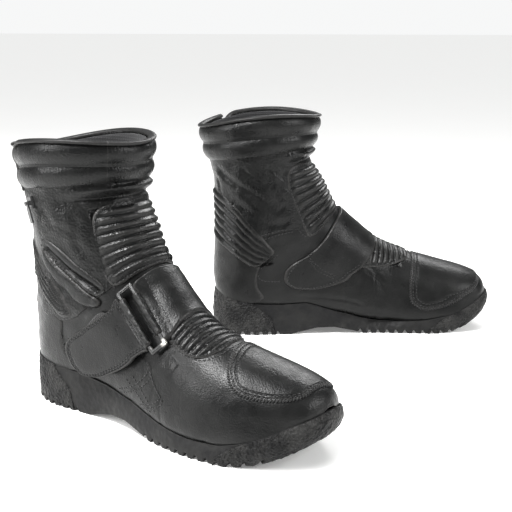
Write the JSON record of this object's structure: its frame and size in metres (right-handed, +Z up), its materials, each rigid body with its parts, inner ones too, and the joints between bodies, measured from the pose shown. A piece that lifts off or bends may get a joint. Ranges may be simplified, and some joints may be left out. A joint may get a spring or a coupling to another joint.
{
  "type": "motorcycle riding boots",
  "caption": "Pair of short black leather motorcycle boots with ribbed padding, padded collar, ring-and-flap instep strap and lugged soles.",
  "frame": {"origin": "on the floor under the middle of the pair's bounding box", "axes": "+X the way the pair faces, between the two toes; +Y towards the left boot; +Z up"},
  "size_m": [0.3826, 0.4748, 0.2352],
  "materials": {
    "smooth_leather": "satin",
    "grained_leather": "grained satin",
    "padded_leather": "soft satin",
    "binding": "satin",
    "sole_rubber": "smooth matt",
    "rough_rubber": "pebbled matt",
    "board": "fibre board",
    "steel": "brushed",
    "foam": "cloth-faced foam",
    "stiffener": "matt",
    "lining": "knitted",
    "zip_tape": "woven",
    "dark_metal": "satin",
    "black_ring": "gloss, worn at one corner",
    "loop_fabric": "looped pile",
    "hook_fabric": "small hooks"
  },
  "bodies": {
    "right_boot": {"right_outsole": "sole_rubber", "right_heel_bumper": "rough_rubber", "right_toe_bumper": "rough_rubber", "right_insole_board": "board", "right_shank": "steel", "right_footbed": "foam", "right_vamp": "smooth_leather", "right_toe_cap": "smooth_leather", "right_toe_puff": "stiffener", "right_heel_stiffener": "stiffener", "right_heel_counter": "smooth_leather", "right_shaft_medial": "grained_leather", "right_shaft_lateral": "grained_leather", "right_shin_ribs": "padded_leather", "right_instep_ribs": "padded_leather", "right_bellows": "padded_leather", "right_collar_pad": "padded_leather", "right_collar_binding": "binding", "right_lining": "lining", "right_zip_tape": "zip_tape", "right_zip_placket": "smooth_leather", "right_instep_strap": "smooth_leather", "right_strap_base": "loop_fabric"},
    "right_collar_end": {"right_collar_tab": "padded_leather"},
    "right_slider": {"right_zip_slider": "dark_metal"},
    "right_puller": {"right_zip_puller": "dark_metal"},
    "right_ring": {"right_strap_ring": "black_ring"},
    "right_flap": {"right_closure_flap": "smooth_leather", "right_hook_patch": "hook_fabric"},
    "left_boot": {"left_outsole": "sole_rubber", "left_heel_bumper": "rough_rubber", "left_toe_bumper": "rough_rubber", "left_insole_board": "board", "left_shank": "steel", "left_footbed": "foam", "left_vamp": "smooth_leather", "left_toe_cap": "smooth_leather", "left_toe_puff": "stiffener", "left_heel_stiffener": "stiffener", "left_heel_counter": "smooth_leather", "left_shaft_medial": "grained_leather", "left_shaft_lateral": "grained_leather", "left_shin_ribs": "padded_leather", "left_instep_ribs": "padded_leather", "left_bellows": "padded_leather", "left_collar_pad": "padded_leather", "left_collar_binding": "binding", "left_lining": "lining", "left_zip_tape": "zip_tape", "left_zip_placket": "smooth_leather", "left_instep_strap": "smooth_leather", "left_strap_base": "loop_fabric"},
    "left_collar_end": {"left_collar_tab": "padded_leather"},
    "left_slider": {"left_zip_slider": "dark_metal"},
    "left_puller": {"left_zip_puller": "dark_metal"},
    "left_ring": {"left_strap_ring": "black_ring"},
    "left_flap": {"left_closure_flap": "smooth_leather", "left_hook_patch": "hook_fabric"}
  },
  "joints": [
    {"name": "left_boot_lift", "type": "slide", "parent": "right_boot", "child": "left_boot", "axis": [0, 0, 1], "range_m": [0, 0.3]},
    {"name": "right_collar_opens", "type": "hinge", "parent": "right_boot", "child": "right_collar_end", "pos_m": [-0.127, -0.17637, 0.19422], "axis": [0.0052, -0.1333, 0.9911], "range_deg": [0, 55]},
    {"name": "right_ring_rocks", "type": "hinge", "parent": "right_boot", "child": "right_ring", "pos_m": [-0.0462, -0.18874, 0.09958], "axis": [-0.6518, 0.3863, 0.6526], "range_deg": [0, 25]},
    {"name": "right_flap_peels", "type": "hinge", "parent": "right_ring", "child": "right_flap", "pos_m": [-0.05563, -0.19106, 0.09155], "axis": [-0.6518, 0.3863, 0.6526], "range_deg": [0, 110]},
    {"name": "right_zip_slides", "type": "slide", "parent": "right_boot", "child": "right_slider", "axis": [0.2708, -0.0624, -0.9606], "range_m": [0, 0.03]},
    {"name": "right_puller_lifts", "type": "hinge", "parent": "right_slider", "child": "right_puller", "pos_m": [-0.16078, -0.16356, 0.17699], "axis": [-0.7446, 0.6188, -0.2501], "range_deg": [0, 140]},
    {"name": "left_collar_opens", "type": "hinge", "parent": "left_boot", "child": "left_collar_end", "pos_m": [-0.045, 0.17637, 0.19422], "axis": [-0.0052, -0.1333, -0.9911], "range_deg": [0, 55]},
    {"name": "left_ring_rocks", "type": "hinge", "parent": "left_boot", "child": "left_ring", "pos_m": [0.0358, 0.18874, 0.09958], "axis": [0.6518, 0.3863, -0.6526], "range_deg": [0, 25]},
    {"name": "left_flap_peels", "type": "hinge", "parent": "left_ring", "child": "left_flap", "pos_m": [0.02637, 0.19106, 0.09155], "axis": [0.6518, 0.3863, -0.6526], "range_deg": [0, 110]},
    {"name": "left_zip_slides", "type": "slide", "parent": "left_boot", "child": "left_slider", "axis": [0.2708, 0.0624, -0.9606], "range_m": [0, 0.03]},
    {"name": "left_puller_lifts", "type": "hinge", "parent": "left_slider", "child": "left_puller", "pos_m": [-0.07878, 0.16356, 0.17699], "axis": [0.7446, 0.6188, 0.2501], "range_deg": [0, 140]}
  ]
}
